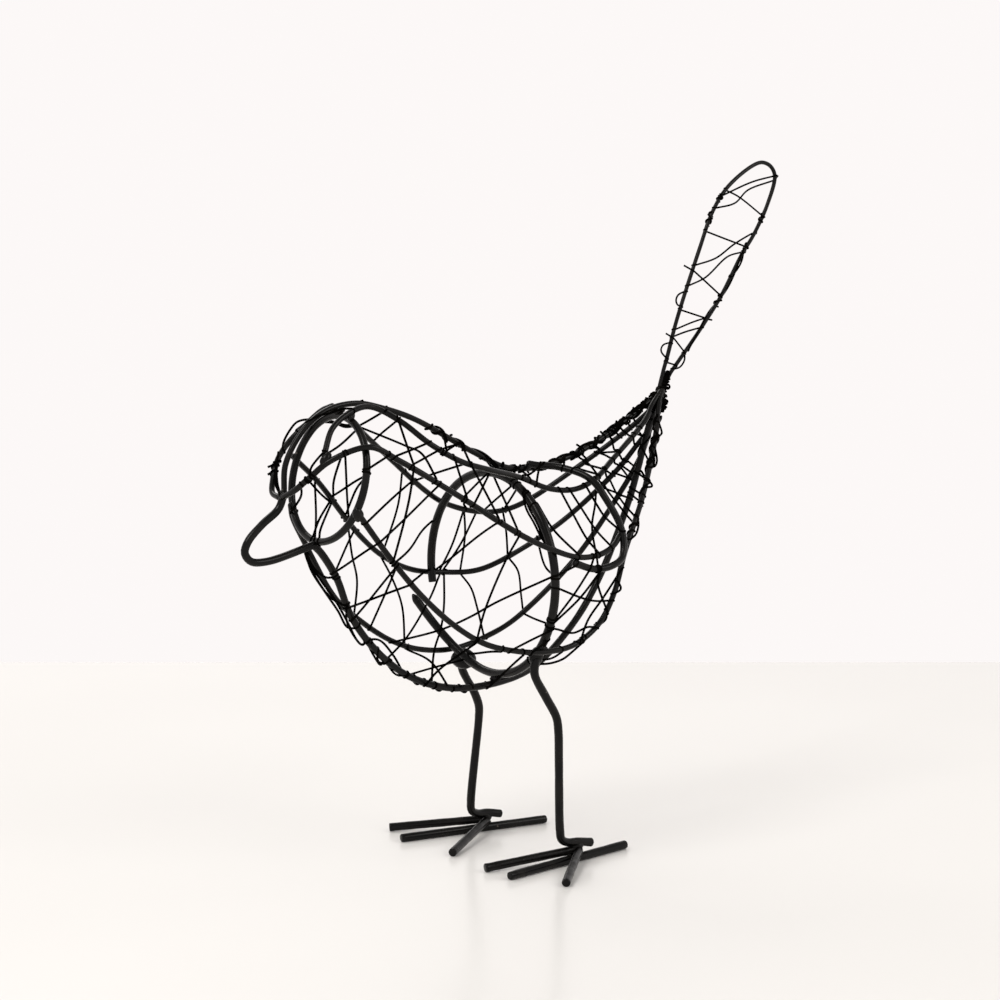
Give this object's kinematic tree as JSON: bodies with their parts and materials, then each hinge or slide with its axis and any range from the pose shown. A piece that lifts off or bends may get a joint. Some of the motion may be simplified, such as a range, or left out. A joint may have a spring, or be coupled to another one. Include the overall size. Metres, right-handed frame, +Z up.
{
  "type": "wire bird figurine",
  "caption": "Small standing bird of bent black wire: an open cage body laced with thin wire, a looped beak, a long looped tail cocked up, and rod legs and toes.",
  "frame": {"origin": "on the ground, under the middle of the bird's box, between beak tip, tail tip and toe tips", "axes": "-Y towards the beak, +X to the bird's left, +Z up"},
  "size_m": [0.0774, 0.1897, 0.1951],
  "materials": {
    "rod": "satin black paint over iron rod",
    "frame_wire": "satin black paint over iron wire",
    "binding_wire": "satin black paint over thin binding wire"
  },
  "bodies": {
    "root": {"back_wire": "frame_wire", "belly_wire": "frame_wire", "left_upper_wire": "frame_wire", "left_side_wire": "frame_wire", "left_lower_wire": "frame_wire", "right_upper_wire": "frame_wire", "right_side_wire": "frame_wire", "right_lower_wire": "frame_wire", "left_wing_wire": "frame_wire", "right_cheek_wire": "frame_wire", "body_ring": "rod", "head_ring": "frame_wire", "beak_wire": "rod", "tail_loop": "frame_wire", "tail_binding": "binding_wire", "tail_lacing": "binding_wire", "body_lacing": "binding_wire", "hip_lacing": "binding_wire", "back_lacing": "binding_wire", "nape_lacing": "binding_wire", "shoulder_lacing": "binding_wire", "throat_lacing": "binding_wire", "breast_lacing": "binding_wire", "collar_lacing": "binding_wire", "crown_lacing": "binding_wire", "chest_lacing": "binding_wire", "flank_lacing": "binding_wire", "belly_lacing": "binding_wire", "crop_lacing": "binding_wire", "thigh_lacing": "binding_wire", "side_lacing": "binding_wire", "rump_lacing": "binding_wire", "left_leg": "rod", "right_leg": "rod", "left_middle_toe": "rod", "right_middle_toe": "rod", "left_side_toes": "rod", "right_side_toes": "rod"}
  },
  "joints": []
}
